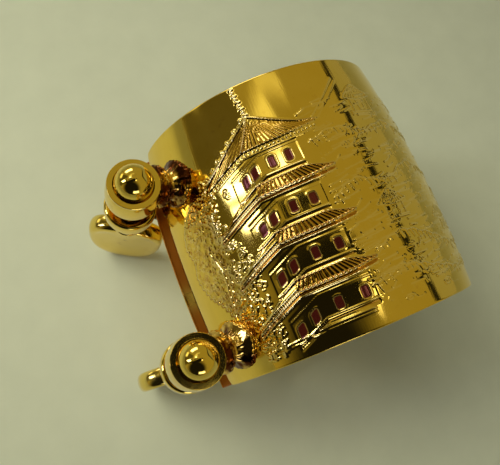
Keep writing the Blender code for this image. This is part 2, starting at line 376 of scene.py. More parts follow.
HILLS = (((19.6, 4.6), (22.4, 5.3), (25.3, 4.4), (28.8, 5.1), (33.0, 3.9), (38.0, 4.6)),
         ((19.6, -0.9), (22.0, 0.2), (25.2, -0.6), (29.0, 0.7), (33.5, -0.3), (38.0, 0.5)),
         ((21.2, -6.2), (24.2, -5.4), (27.5, -6.4), (31.0, -7.6), (35.0, -6.9), (38.0, -7.6)),
         ((19.5, -9.0), (23.0, -8.2), (26.4, -9.2), (30.4, -9.9), (34.0, -9.3), (38.0, -10.2)))
CLOUDS = ((22.6, 3.4, 0.55), (29.6, 2.6, 0.8), (34.2, 7.2, 0.9), (22.3, -11.0, 0.5),
          (33.6, -2.4, 0.8), (27.2, -11.0, 0.6), (36.0, 1.8, 0.7))
SEED = 7


def slanted(u, v, fold):
    return v + SLANT * np.maximum(0, fold - u)


def eave_height(u, v):
    """Height over the unrolled drawing's eaves, which slant on the left and turn up on the right."""
    return slanted(u, v, EAVE_FOLD) - UPTURN * np.maximum(0, u - UPTURN_FROM) ** 2


class Relief:
    """Heights over the polished sheet, in millimetres, and where it gets painted shade or is lacquered.
    """

    def __init__(self, u_lines, v_lines, u, v):
        self.u_lines, self.v_lines = u_lines, v_lines
        self.u, self.v = u, v
        self.plate, self.ridge, self.groove, self.recess, self.lacquer = np.zeros((5,) + u.shape)

    def window(self, u0, u1, v0, v1, margin=0.5):
        i0, i1 = np.searchsorted(self.u_lines, (u0 - margin, u1 + margin))
        j0, j1 = np.searchsorted(self.v_lines, (v0 - margin, v1 + margin))
        return slice(i0, max(i1, i0 + 1)), slice(j0, max(j1, j0 + 1))

    def stroke(self, points, width, height):
        """A rounded line through the points: a ridge, or a groove if height is negative."""
        half = width / 2
        for (ax, ay), (bx, by) in zip(points[:-1], points[1:]):
            s = self.window(min(ax, bx), max(ax, bx), min(ay, by), max(ay, by), width)
            u, v = self.u[s], self.v[s]
            dx, dy = bx - ax, by - ay
            t = np.clip(((u - ax) * dx + (v - ay) * dy) / max(dx * dx + dy * dy, 1e-9), 0, 1)
            d = np.hypot(u - ax - t * dx, v - ay - t * dy)
            self.put(s, height, np.clip(1 - (d / half) ** 2, 0, 1))

    def put(self, s, height, amount):
        if height > 0:
            self.ridge[s] = np.maximum(self.ridge[s], height * amount)
        else:
            self.groove[s] = np.minimum(self.groove[s], height * amount)

    def shade(self, s, amount):
        self.recess[s] = np.maximum(self.recess[s], amount)

    def ribs(self, s, fan, area, height, tint):
        """Ribs that fan out over an area, with painted shade in the grooves between them."""
        rib = np.clip(np.cos(2 * np.pi * fan), 0, 1)
        self.plate[s] += height * rib * area
        self.put(s, -0.03, (1 - rib) * area)
        self.shade(s, tint * (1 - rib) * area)

    def contour(self, s, field, level, width, height, fade=1.0):
        d = np.abs(field - level) / (width / 2)
        self.put(s, height, np.clip(1 - d * d, 0, 1) * fade)


def curve(points, count=24):
    """A smooth line through a few points (Catmull-Rom)."""
    p = np.array([points[0]] + list(points) + [points[-1]], float)
    result = []
    for a, b, c, d in zip(p, p[1:], p[2:], p[3:]):
        t = np.linspace(0, 1, count, endpoint=False)[:, None]
        result.append(0.5 * (2 * b + (c - a) * t + (2 * a - 5 * b + 4 * c - d) * t ** 2
                             + (3 * b - a - 3 * c + d) * t ** 3))
    return np.concatenate(result + [p[-1:]])


def draw_windows(relief, centres, half_width, half_height, depth):
    for uc, qc in centres:
        drop = SLANT * max(0.0, WALL_FOLD - uc)
        s = relief.window(uc - half_width, uc + half_width, qc - drop - half_height,
                          qc - drop + half_height, 0.6)
        u = relief.u[s]
        q = slanted(u, relief.v[s], WALL_FOLD)
        du = np.abs(u - uc) - (half_width - WINDOW_CORNER)
        dq = np.abs(q - qc) - (half_height - WINDOW_CORNER)
        d = np.hypot(np.maximum(du, 0), np.maximum(dq, 0)) + np.minimum(np.maximum(du, dq), 0)
        d = d - WINDOW_CORNER
        inside = 1 - smooth(-0.09, 0.0, d)
        relief.plate[s] -= depth * inside
        relief.lacquer[s] = np.maximum(relief.lacquer[s], smooth(0.0, -0.05, d))
        relief.contour(s, d, 0.07, 0.13, 0.03)


def draw_roof(relief, eave):
    """A middle roof: a ribbed front with two eave lines, and long slanting lines on the left."""
    s = relief.window(LEFT_TIP, RIGHT_TIP, eave - 3.4, eave + 1.8)
    u, v = relief.u[s], relief.v[s]
    q = eave_height(u, v)
    rise = 0.22 + 0.85 * smooth(LEFT_TIP, 14.4, u) * (1 - smooth(18.0, RIGHT_TIP, u))
    across = smooth(LEFT_TIP, LEFT_TIP + 0.3, u) * (1 - smooth(RIGHT_TIP - 0.3, RIGHT_TIP, u))
    over = q - eave
    on_roof = smooth(-0.06, 0.02, over) * (1 - smooth(rise - 0.05, rise + 0.05, over))
    relief.plate[s] += 0.075 * on_roof * across
    fan = (u - 15.7) / np.maximum(eave + 3.6 - v, 0.5)
    front = smooth(EAVE_FOLD - 0.1, EAVE_FOLD + 0.1, u)
    relief.ribs(s, fan / 0.125, on_roof * across * front, 0.075, 0.8)
    left = across * (1 - front)
    for up, width, height, part in ((-0.02, 0.24, 0.16, across), (-0.24, 0.2, -0.08, across),
                                    (-0.46, 0.19, 0.12, across), (0.13, 0.1, -0.05, left),
                                    (0.32, 0.16, 0.12, left)):
        relief.contour(s, q, eave + up, width, height, part)
    relief.contour(s, q - rise, eave, 0.15, 0.09, across)
    tip = (RIGHT_TIP - 1.2, eave + 0.2), (RIGHT_TIP, eave + 0.42), (RIGHT_TIP + 0.7, eave + 0.95)
    relief.stroke(curve(tip), 0.16, 0.07)


def draw_top_roof(relief):
    left_hip = curve((APEX,) + LEFT_HIP)
    right_hip = curve((APEX,) + RIGHT_HIP)
    fold = curve([APEX, (14.45, 7.3), (EAVE_FOLD, EAVE_TOP)])
    s = relief.window(8.6, 21.6, 3.4, 9.2)
    u, v = relief.u[s], relief.v[s]
    q = eave_height(u, v)
    outline = np.concatenate([left_hip[::-1], right_hip])
    top = np.interp(u, outline[:, 0], outline[:, 1])
    inside = smooth(EAVE_TOP - 0.05, EAVE_TOP + 0.05, q) * (1 - smooth(-0.06, 0.06, v - top))
    inside *= smooth(9.2, 9.5, u) * (1 - smooth(20.9, 21.2, u))
    relief.plate[s] += 0.07 * inside
    fan = (u - APEX[0]) / np.maximum(APEX[1] + 0.15 - v, 0.2)
    relief.ribs(s, fan / 0.135, inside * (1 - smooth(8.0, 8.8, v)), 0.055, 0.6)
    relief.stroke(left_hip, 0.24, 0.13)
    relief.stroke(left_hip + (-0.28, 0.05), 0.12, 0.07)
    relief.stroke(right_hip, 0.2, 0.12)
    relief.stroke(fold, 0.18, 0.13)
    across = smooth(9.0, 9.3, u) * (1 - smooth(20.8, 21.1, u))
    relief.contour(s, q, EAVE_TOP - 0.03, 0.18, 0.11, across)
    beads = np.clip(np.cos(2 * np.pi * u / 0.4), 0, 1) ** 0.7
    relief.contour(s, q, EAVE_TOP - 0.33, 0.3, 0.1, across * beads)
    relief.contour(s, q, EAVE_TOP - 0.62, 0.13, 0.07, across)
    for uc, vc in left_hip[6::9]:
        ring = [(uc - 0.2 + 0.17 * math.cos(t), vc + 0.22 + 0.17 * math.sin(t))
                for t in np.linspace(0, 5.2, 10)]
        relief.stroke(ring, 0.1, 0.1)


def draw_spire(relief):
    for k in range(SPIRE_RINGS):
        v = APEX[1] + 0.2 + SPIRE_STEP * k
        u = APEX[0] - 0.05 * k
        half = 0.26 if k % 2 == 0 else 0.15
        relief.stroke([(u - half, v), (u + half, v)], 0.2, 0.12)
        relief.stroke([(u, v), (u - 0.05, v + SPIRE_STEP)], 0.22, 0.09)


def draw_tower(relief):
    draw_spire(relief)
    for tier in range(TIERS):
        eave = EAVE_TOP - STOREY * tier
        foot = eave - STOREY + 1.1
        right = WALL_RIGHT + 0.35 * tier
        s = relief.window(WALL_LEFT - 0.5, right + 0.5, foot - 2.0, eave)
        u = relief.u[s]
        q = slanted(u, relief.v[s], WALL_FOLD)
        wall = smooth(WALL_LEFT - 0.05, WALL_LEFT + 0.05, u)
        wall *= 1 - smooth(right - 0.05, right + 0.05, u)
        wall *= smooth(foot - 0.1, foot, q) * (1 - smooth(eave - 0.6, eave - 0.5, q))
        relief.plate[s] -= 0.03 * wall
        relief.contour(s, q, foot + 0.42, 0.16, 0.08, wall)
        relief.contour(s, q, foot + 0.2, 0.16, -0.05, wall)
        relief.contour(s, q, eave - 0.85, 0.1, 0.04, wall)
        middle = foot + (1.42 if tier < TIERS - 1 else 1.25)
        centres = [(13.15 - 0.17 * tier, middle), (14.15, middle), (15.95 + 0.15 * tier, middle),
                   (17.5 + 0.42 * tier, middle)]
        draw_windows(relief, centres, WINDOW_HALF[0] + 0.01 * tier, WINDOW_HALF[1], WINDOW_DEPTH)
    draw_top_roof(relief)
    for tier in range(1, TIERS):
        draw_roof(relief, EAVE_TOP - STOREY * tier)
    base = EAVE_TOP - STOREY * TIERS + 0.85
    for drop, width in ((0, 0.16), (0.3, 0.1)):
        relief.stroke([(9.4, base - drop - SLANT * (WALL_FOLD - 9.4) * 0.12), (WALL_FOLD, base - drop),
                       (WALL_RIGHT + 0.4, base - drop)], width, 0.06)


def draw_curls(relief, generator, count, u_of, v_range, radius, width, height):
    """Loose foliage or scrub out of small open rings. u_of(v) gives the range of u."""
    for _ in range(count):
        v = generator.uniform(*v_range)
        low, high = u_of(v)
        if high - low < 0.2:
            continue
        u = generator.uniform(low, high)
        r = generator.uniform(*radius)
        start, sweep = generator.uniform(0, 6.28), generator.uniform(2.2, 4.8)
        squash = generator.uniform(0.6, 1.0)
        t = np.linspace(start, start + sweep, 8)
        ring = np.stack([u + r * np.cos(t), v + r * squash * np.sin(t)], -1)
        relief.stroke(ring, width, height * generator.uniform(0.6, 1.0))


def draw_garden(relief, generator):
    """Trees on the left of the tower, from the margin to its walls."""
    def bushes(v):
        return 8.4, 9.5 + 1.5 * float(smooth(0.5, -2.5, v))
    draw_curls(relief, generator, 300, bushes, (-11.7, 5.6), (0.14, 0.34), 0.12, 0.1)

    def eave_leaves(v):
        tier = (EAVE_TOP - 1.6 - v) % STOREY
        return (9.0, 11.2) if tier < 1.5 and v < 4.4 else (9.0, 9.0)
    draw_curls(relief, generator, 40, eave_leaves, (-11.5, 4.6), (0.12, 0.26), 0.1, 0.07)
    crown = curve(CROWN)
    wobble = 0.12 * np.sin(np.arange(len(crown)) * 0.9)
    relief.stroke(crown + np.stack([wobble, wobble * 0.6], -1), 0.13, 0.09)
    relief.stroke(crown + np.stack([wobble - 0.15, wobble * 0.6], -1), 0.12, -0.06)

    by_height = crown[np.argsort(crown[:, 1])]

    def crown_width(v):
        return float(np.interp(v, by_height[:, 1], by_height[:, 0])) + 0.25, 8.4
    draw_curls(relief, generator, 420, crown_width, (-9.0, 4.3), (0.08, 0.24), 0.1, 0.075)
    draw_curls(relief, generator, 420, crown_width, (-9.0, 4.3), (0.06, 0.2), 0.1, -0.05)
    s = relief.window(3.4, 10.5, -11.8, 5.6)
    u, v = relief.u[s], relief.v[s]
    blotch = np.sin(3.1 * u + 2 * np.sin(2.3 * v)) * np.sin(2.7 * v + 1.7 * np.sin(1.9 * u))
    crown_edge = np.interp(v, by_height[:, 1], by_height[:, 0])
    leafy = smooth(0.1, 0.5, u - crown_edge) * (1 - smooth(8.6, 10.0, u)) * smooth(-11.8, -10, v)
    # Painted shade in blotches over the foliage.
    shade = leafy * (0.15 + 0.2 * blotch) * (1 - smooth(4.3, 4.9, v))
    relief.shade(s, shade)
    trunk = curve(TRUNK)
    relief.stroke(trunk, 0.2, 0.07)
    relief.stroke(trunk + (0.4, 0), 0.12, 0.06)
    for k in range(9):
        a = trunk[12 + 6 * k]
        reach = 1.4 - 0.1 * k
        way = -1 if k % 2 else 1
        relief.stroke(curve([a, a + (way * reach * 0.5, 0.5), a + (way * reach, 0.8)], 8), 0.11, 0.06)


def draw_pavilion(relief, uc, vc, size, height):
    """A small far pavilion: a ribbed roof on posts over a terrace."""
    half = 1.7 * size
    left, right = uc - half, uc + half
    peak = vc + 1.5 * size
    tips = (left - 0.3, vc + 0.35 * size), (right + 0.3, vc + 0.35 * size)
    ridge = (uc - 0.45 * size, peak), (uc + 0.45 * size, peak)
    relief.stroke(curve([tips[0], ridge[0], ridge[1], tips[1]], 10), 0.12, height)
    relief.stroke(curve([tips[0], (uc, vc), tips[1]], 10), 0.13, height)
    for k in range(9):
        t = (k + 0.5) / 9 * 2 - 1
        rib_foot = (uc + t * half * 0.95, vc + 0.15 + 0.25 * t * t)
        relief.stroke([(uc + t * half * 0.32, peak - 0.12), rib_foot], 0.09, height * 0.7)
    for k in range(4):
        u = uc + (k / 1.5 - 1) * half * 0.72
        relief.stroke([(u, vc), (u, vc - 1.3 * size)], 0.1, height * 0.8)
    for drop in (1.3, 1.55):
        relief.stroke([(left, vc - drop * size), (right, vc - drop * size)], 0.11, height)


def draw_far_side(relief, generator):
    """Right of the tower: hills, clouds and small far pavilions, in finer relief."""
    for uc, vc, size, height in PAVILIONS:
        draw_pavilion(relief, uc, vc, size, height)
    for points, width, height in zip(RIDGES, (0.16, 0.1), (0.07, 0.05)):
        relief.stroke(curve(points), width, height)
    for k, points in enumerate(HILLS):
        line = curve(points, 16)
        wobble = 0.09 * np.sin(np.arange(len(line)) * (0.7 + 0.1 * k))
        relief.stroke(line + np.stack([np.zeros_like(wobble), wobble], -1), 0.16, 0.09)
        for j in range(26):
            a = line[3 + 3 * j]
            length = generator.uniform(0.3, 0.9)
            relief.stroke([a, a + (0.35 * length, -length)], 0.12, 0.07)
    for uc, vc, size in CLOUDS:
        t = np.linspace(0, 9.5, 44)
        r = size * (1 - t / 11.5)
        relief.stroke(np.stack([uc + r * np.cos(t), vc + 0.6 * r * np.sin(t)], -1), 0.13, 0.07)
        tail = (uc + size, vc), (uc + 1.7 * size, vc - 0.5 * size), (uc + 3.2 * size, vc - 0.4 * size)
        relief.stroke(curve(tail, 8), 0.11, 0.045)

    def scrub(v):
        phase = (v + 20) % STOREY
        return (19.4, 23.6) if phase < 2.2 else (20.6, 22.4)
    draw_curls(relief, generator, 70, scrub, (-10.6, 6.2), (0.1, 0.24), 0.09, 0.035)

    def thin(v):
        return 23.0, 31.0
    draw_curls(relief, generator, 60, thin, (-10.6, 9.6), (0.1, 0.22), 0.08, 0.02)
    for _ in range(320):
        u, v = generator.uniform(19.3, 34.0), generator.uniform(-10.6, 8.4)
        length, lift = generator.uniform(0.5, 2.2), generator.uniform(-0.1, 0.5)
        arc = curve([(u, v), (u + length * 0.5, v + lift * 0.35), (u + length, v + lift)], 5)
        relief.stroke(arc, generator.uniform(0.11, 0.22), generator.uniform(0.03, 0.075))


def engrave(u_lines, v_lines, u, v):
    """The height, painted shade, lacquer and painted highlights of the whole drawing at each point of
    the grid.
    """
    relief = Relief(u_lines, v_lines, u, v)
    generator = np.random.default_rng(SEED)
    draw_tower(relief)
    draw_garden(relief, generator)
    draw_far_side(relief, generator)
    height = relief.plate + relief.ridge + relief.groove
    # Grooves get painted shade, more where they are deeper.
    recess = np.maximum(relief.recess, np.clip(-relief.groove / 0.06, 0, 0.9))
    # Raised lines get a painted highlight, more where they stand higher.
    painted_highlight = np.clip(relief.ridge / 0.09, 0, 1)
    wave = (np.sin(u * 1.9 + 0.6 * np.sin(v * 0.9)) * np.sin(v * 1.3 + 0.8 * np.sin(u * 0.5))
            + 0.5 * np.sin(u * 0.7 - v * 0.4 + 1.0))
    return height + 0.0012 * wave, recess, relief.lacquer, painted_highlight


# ---------------------------------------------------------------- the band
FINE, COARSE, ROW = 0.085, 0.32, 0.085
ENGRAVED_FROM, ENGRAVED_TO = 3.2, 38.6
RIM = (0.0, 0.02, 0.05, 0.09, 0.14, 0.2)
OUTER_EDGE, INNER_EDGE = 0.14, 0.07
CORNER, TAB = 0.8, 0.6
INNER_STEP = 4
LIP_STEP, LIP_STEP_LENGTH = 0.42, 6.5
LIP_LEAN, LIP_LEAN_LENGTH = 0.42, 1.8
TAB_GAP_START, TAB_GAP_END = (-7.5, -6.7), (4.9, 5.7)
LIP_REACH = 2.2
# The cut face at the lower lip is rough and darkened with painted shade, with less of both in one patch
# along it.
CUT_FACE = (-0.16, -0.02)
LIGHTER_PATCH_AT, LIGHTER_PATCH_WIDTH, LIGHTER_PATCH_SHARE = -3.0, 1.2, 0.7


def spaced(start, end, step):
    return np.linspace(start, end, max(2, int(round((end - start) / step)) + 1))


def edge_drop(distance, radius):
    d = np.clip(distance, 0, radius)
    return radius - np.sqrt(np.maximum(radius ** 2 - (radius - d) ** 2, 0))


def corner_shift(y):
    over = np.clip(np.abs(y) - (LENGTH / 2 - CORNER), 0, CORNER)
    return CORNER - np.sqrt(np.maximum(CORNER ** 2 - over ** 2, 0))


def make_band():
    u_start = ARC_RADIUS * math.asin(UPPER_LIP / ARC_RADIUS)
    u_end = ARC_RADIUS * (2 * math.pi - math.asin(-LOWER_LIP / ARC_RADIUS))
    rim = np.array(RIM)
    u_lines = np.concatenate([u_start + rim, spaced(u_start + 0.3, ENGRAVED_FROM, 0.15),
                              spaced(ENGRAVED_FROM, ENGRAVED_TO, FINE)[1:],
                              spaced(ENGRAVED_TO, u_end - 0.4, COARSE)[1:], u_end - rim[::-1]])
    v_lines = np.concatenate([-LENGTH / 2 + rim, spaced(-LENGTH / 2 + 0.28, LENGTH / 2 - 0.28, ROW),
                              LENGTH / 2 - rim[::-1]])
    u, v = np.meshgrid(u_lines, v_lines, indexing="ij")
    between = smooth(*TAB_GAP_START, v) * (1 - smooth(*TAB_GAP_END, v))
    upper_shift = corner_shift(v) - TAB * (1 - between)
    lower_shift = corner_shift(v)
    u = (u + upper_shift * (1 - smooth(0, LIP_REACH, u - u_start))
         - lower_shift * smooth(-LIP_REACH, 0, u - u_end))
    height, recess, lacquer, painted_highlight = engrave(u_lines, v_lines, u, v)
    # The cut face at the lower lip: rougher, with painted shade, and less of both in one patch.
    cut_face = smooth(*CUT_FACE, u - u[-1:])
    lighter_patch = np.exp(-((v - LIGHTER_PATCH_AT) / LIGHTER_PATCH_WIDTH) ** 2)
    sawn_and_shaded = cut_face * (1 - LIGHTER_PATCH_SHARE * lighter_patch)
    to_edge = np.minimum.reduce([LENGTH / 2 - np.abs(v), u - u[:1], u[-1:] - u])
    height = height * smooth(0.1, 0.35, to_edge) - edge_drop(to_edge, OUTER_EDGE)

    def shell(u, v, base_offset, height):
        """Points of one side of the sheet. The outer one stands proud and leans at the lower lip."""
        if base_offset == 0:
            base_offset = LIP_STEP * smooth(-LIP_STEP_LENGTH, 0, u - u_end)
            u = u - LIP_LEAN * smooth(-LIP_LEAN_LENGTH, 0, u - u_end)
        a = u / ARC_RADIUS
        slope = band_slope(v)
        scale = 1 / np.sqrt(1 + slope ** 2)
        normal = np.stack([-np.cos(a) * scale, -slope * scale, np.sin(a) * scale], -1)
        r = band_radius(v) + base_offset
        base = np.stack([-r * np.cos(a), v, r * np.sin(a)], -1)
        return (base + normal * height[..., None]).reshape(-1, 3)

    outer = shell(u, v, 0.0, height)
    pick_u, pick_v = (np.union1d(np.arange(0, n, INNER_STEP), [1, 3, n - 4, n - 2, n - 1])
                      for n in (len(u_lines), len(v_lines)))
    inner_u, inner_v = u[np.ix_(pick_u, pick_v)], v[np.ix_(pick_u, pick_v)]
    inner_edge = to_edge[np.ix_(pick_u, pick_v)]
    inner = shell(inner_u, inner_v, -SHEET, edge_drop(inner_edge, INNER_EDGE))
    rows, columns = u.shape
    inner_rows, inner_columns = inner_u.shape
    offset = rows * columns
    quads = np.concatenate([grid_quads(rows, columns, flip=True),
                            grid_quads(inner_rows, inner_columns, offset=offset)])
    polygons = []
    for side in (0, 1):
        edge, inner_edge = side * (columns - 1), side * (inner_columns - 1)
        for k, (a, b) in enumerate(zip(pick_u, pick_u[1:])):
            loop = [i * columns + edge for i in range(a, b + 1)]
            loop += [offset + (k + j) * inner_columns + inner_edge for j in (1, 0)]
            polygons.append(loop[::-1] if side else loop)
        edge, inner_edge = side * (rows - 1), side * (inner_rows - 1)
        for k, (a, b) in enumerate(zip(pick_v, pick_v[1:])):
            loop = [edge * columns + j for j in range(a, b + 1)]
            loop += [offset + inner_edge * inner_columns + k + j for j in (1, 0)]
            polygons.append(loop if side else loop[::-1])
    at_cut = cut_face[np.ix_(pick_u, pick_v)] > 0.5
    painted = {}
    for key, layer in (("recess", recess), ("lacquer", lacquer), ("painted_highlight", painted_highlight), ("sawn_and_shaded", sawn_and_shaded)):
        inside = np.where(at_cut, layer[np.ix_(pick_u, pick_v)], 0)
        painted[key] = np.concatenate([layer.ravel(), inside.ravel()])
    band = build_mesh("engraved_band", to_world(np.concatenate([outer, inner])), quads, polygons,
                      painted)
    fix_normals(band)
    band.data.materials.append(SHEET_GOLD)
    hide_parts("band_upper_half", "band_lower_half")
    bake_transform(band)


make_band()

# ---------------------------------------------------------------- posts
# Profiles of (radius, height) from the band's axis, with a fillet where one is wanted.
BARREL_PROFILE = [(1.35, 6.0), (1.35, 8.42), (1.80, 8.42, 0.08), (1.83, 8.62, 0.05), (1.84, 9.0, 0.02),
                  (1.87, 9.0, 0.01), (2.30, 9.0, 0.01), (2.33, 9.0, 0.01), (2.36, 8.97, 0.01),
                  (2.36, 8.93, 0.01), (2.36, 8.70, 0.05), (2.31, 8.62, 0.04),
                  (2.36, 8.52, 0.1), (2.43, 7.9, 0.6), (2.49, 7.1, 0.5), (2.48, 6.3, 0.3),
                  (2.42, 5.95, 0.12), (2.2, 5.9, 0.05), (1.5, 5.9, 0.05), (1.35, 6.0)]
BALL_CENTRE, BALL_RADIUS, BALL_SEAT, BALL_CLEARANCE = 9.17, 1.73, 8.5, 0.08
BALL_BORE = [(1.25, 8.46), (1.25, 9.3), (0, 9.3)]
COLLAR_PROFILE = [(1.05, 3.2), (1.25, 3.4, 0.05), (2.32, 3.4, 0.05), (2.5, 3.28, 0.12), (2.55, 2.9, 0.2),
                  (2.55, 1.9, 0.2), (2.48, 1.6, 0.15), (2.1, 1.3, 0.2), (1.75, 1.15, 0.1),
                  (1.65, 0.8, 0.15), (1.65, -1.3, 0.1), (1.5, -1.5, 0.05), (1.05, -1.5)]
EDGE = 0.05


def make_posts(prefix):
    """The threaded barrel with its ball in the cup, and the plain barrel under it."""
    origin = POSTS[prefix] + (0,)
    low = math.asin((BALL_SEAT + BALL_CLEARANCE - BALL_CENTRE) / BALL_RADIUS)
    sweep = np.linspace(math.pi / 2, low, 40)
    ball = [(BALL_RADIUS * math.cos(t), BALL_CENTRE + BALL_RADIUS * math.sin(t)) for t in sweep]
    for part, rings, body in (("threaded_barrel", filleted(BARREL_PROFILE, EDGE)[:-1], "upper_half"),
                              ("ball_finial", ball + BALL_BORE, "upper_half"),
                              ("plain_barrel", filleted(COLLAR_PROFILE, EDGE), "lower_half")):
        turned(f"{prefix}_{part}_finish", rings, origin, body, (f"{prefix}_{part}",), TURNED_GOLD)


# kind: height of the foot's axis at the barrel, seat angle, barrel radius, scale, body.
FEET = {"threaded": (7.5, 24, 2.48, 1.0, "upper_half"), "plain": (-0.6, -9, 1.65, 0.45, "lower_half")}
FOOT_BASE, FOOT_BEAD, FOOT_WAIST = 2.2, 1.95, 1.2
FOOT_STEPS = 208
SEAT_SINK, SEAT_BLEND = 0.02, (0.1, 0.9)
LUMP, BEADING, RIM_BEADING, RIM_LUMP, FLUTE = 0.07, 0.09, 0.08, 0.06, 0.045


def foot_profile(length, shoulder, barrel_radius, scale):
    """From the barrel's inside over the bead and the waist to the flange on the sheet."""
    base, bead, waist = FOOT_BASE * scale, FOOT_BEAD * scale, FOOT_WAIST * scale
    room = shoulder - 0.45
    inside = length - 0.3 * barrel_radius
    return filleted([(0, inside), (0.72 * bead, inside), (0.76 * bead, shoulder + 0.2),
                     (0.9 * bead, shoulder + 0.1, 0.08), (bead, shoulder - 0.02, 0.12),
                     (bead, shoulder - 0.36, 0.12), (0.86 * bead, shoulder - 0.48, 0.05),
                     (waist, 0.40 + 0.52 * room, 0.2), (waist * 1.03, 0.40 + 0.38 * room, 0.2),
                     (0.68 * base, 0.34 + 0.16 * room, 0.3), (0.97 * base, 0.34, 0.12),
                     (1.0 * base, 0.2, 0.08), (0.97 * base, 0.04, 0.05), (1.03 * base, -0.06, 0.1),
                     (0.9 * base, -0.2), (0, -0.2)], 0.06, 5)


def foot_unevenness(r, a, z, shoulder, scale):
    """How far the skin stands out: solder lumps at the seat, beads on both rims, flutes between."""
    room = shoulder - 0.45
    lumps = LUMP * scale * (np.sin(3 * a + 1.3) + 0.6 * np.sin(7 * a + 0.4))
    puddle = (1 - smooth(0.0, 0.2, z)) * smooth(0.3, 1.5, r)
    up = z - shoulder
    knurl = smooth(-0.5, -0.35, up) * (1 - smooth(-0.05, 0.08, up))
    rim = smooth(0.02, 0.1, z) * (1 - smooth(0.26, 0.36, z))
    between = smooth(0.3, 0.5, z) * (1 - smooth(0.3 + 0.35 * room, 0.4 + 0.45 * room, z))
    beads = (BEADING * np.abs(np.sin(9 * a)) * knurl
             + (RIM_BEADING * np.abs(np.sin(13 * a)) + RIM_LUMP * np.sin(5 * a + 1)) * rim)
    waves = np.sin(11 * a + 3 * z) + 0.4 * np.sin(17 * a - 4 * z) + 0.9 * np.sin(5 * a + 3 * z)
    return lumps * puddle + scale * (beads + FLUTE * between * waves)


def make_foot(prefix, kind):
    """A turned foot with beads. Its flange follows the sheet, with an uneven solder edge."""
    height, seat_degrees, barrel_radius, scale, body = FEET[kind]
    post_x, y = POSTS[prefix]
    surface = band_radius(y)
    seat = math.radians(seat_degrees)
    seat_x, seat_z = -surface * math.cos(seat), surface * math.sin(seat)
    length = math.hypot(post_x - seat_x, height - seat_z)
    tilt = math.atan2(height - seat_z, seat_x - post_x)
    shoulder = length - barrel_radius
    turn = Matrix.Rotation(tilt - math.pi / 2, 4, "Y")
    axis = np.array(turn.to_3x3() @ Vector((0, 0, 1)))
    side = np.array(turn.to_3x3() @ Vector((1, 0, 0)))
    start = np.array((seat_x, y, seat_z))

    def shape(r, a, z):
        r = r + foot_unevenness(r, a, z, shoulder, scale)
        across = r * np.sin(a)
        p = start + np.outer(r * np.cos(a), side).reshape(r.shape + (3,))
        radius = band_radius(y + across) - SEAT_SINK
        b = p[..., 0] * axis[0] + p[..., 2] * axis[2]
        c = p[..., 0] ** 2 + p[..., 2] ** 2 - radius ** 2
        on_sheet = -b + np.sqrt(np.maximum(b * b - c, 0))
        return r * np.cos(a), across, z + on_sheet * (1 - smooth(*SEAT_BLEND, z))

    turned(f"{prefix}_{kind}_foot_finish", foot_profile(length, shoulder, barrel_radius, scale),
           (seat_x, y, seat_z), shape=shape, turn=turn, body=body, nodes=(f"{prefix}_{kind}_foot",),
           material=FOOT_GOLD, steps=FOOT_STEPS)


PITCH, THREAD_DEPTH, THREAD_RINGS = 0.5, 0.13, 150
SHANK_RADIUS, SHANK_TOP, THREAD_END = 0.9, 8.1, 0.6
SHANK_STEPS = 72
HEAD_PROFILE = [(0.9, 0.55), (0.9, -1.55), (1.42, -1.6, 0.05), (1.5, -1.7, 0.06), (1.5, -2.0, 0.06),
                (1.3, -2.12, 0.05), (1.3, -2.3, 0.05), (1.5, -2.42, 0.06), (1.5, -3.0, 0.06),
                (1.4, -3.1), (0, -3.1)]
PADDLE_HALF_WIDTH, PADDLE_HALF_THICKNESS = 4.08, 0.95
PADDLE_TOP, PADDLE_WIDEST, PADDLE_BOTTOM = -3.16, -6.4, -LONGEST_RADIUS / MM + 0.02
PADDLE_STEPS, PADDLE_ROUNDNESS = 120, 0.8
PADDLE_NECK, PADDLE_RIM = (-4.6, -3.4), 0.86
# Shares of the paddle's outline and thickness, from its edge to its dished middle.
PADDLE_SECTION = [(1.0, 0.0), (0.998, 0.22), (0.985, 0.5), (0.965, 0.72), (0.935, 0.88), (0.90, 0.97),
                  (0.86, 1.0), (0.80, 0.99), (0.74, 0.92), (0.66, 0.82), (0.55, 0.74), (0.42, 0.69),
                  (0.28, 0.67), (0.14, 0.66), (0.03, 0.66)]


def make_shank(prefix):
    """The threaded shank with its head collar."""
    tip = filleted([(0, SHANK_TOP), (0.65, SHANK_TOP), (SHANK_RADIUS, SHANK_TOP - 0.25)], EDGE)
    heights = np.linspace(SHANK_TOP - 0.3, THREAD_END, THREAD_RINGS)
    thread = np.stack([np.full(THREAD_RINGS, SHANK_RADIUS), heights], -1)
    rings = np.concatenate([tip, thread, filleted(HEAD_PROFILE, EDGE)])

    def shape(r, a, z):
        saw = np.abs(((z / PITCH + a / (2 * np.pi)) % 1.0) - 0.5) * 2
        cutting = smooth(THREAD_END, THREAD_END + 0.5, z) * (r > 0.85)
        r = r - THREAD_DEPTH * saw * cutting
        return r * np.cos(a), r * np.sin(a), z

    turned(prefix + "_screw_shank_finish", rings, POSTS[prefix] + (0,), steps=SHANK_STEPS, shape=shape,
           body=prefix + "_screw", nodes=(prefix + "_screw_shank",),
           material=SCREW_GOLD, sharp=50)


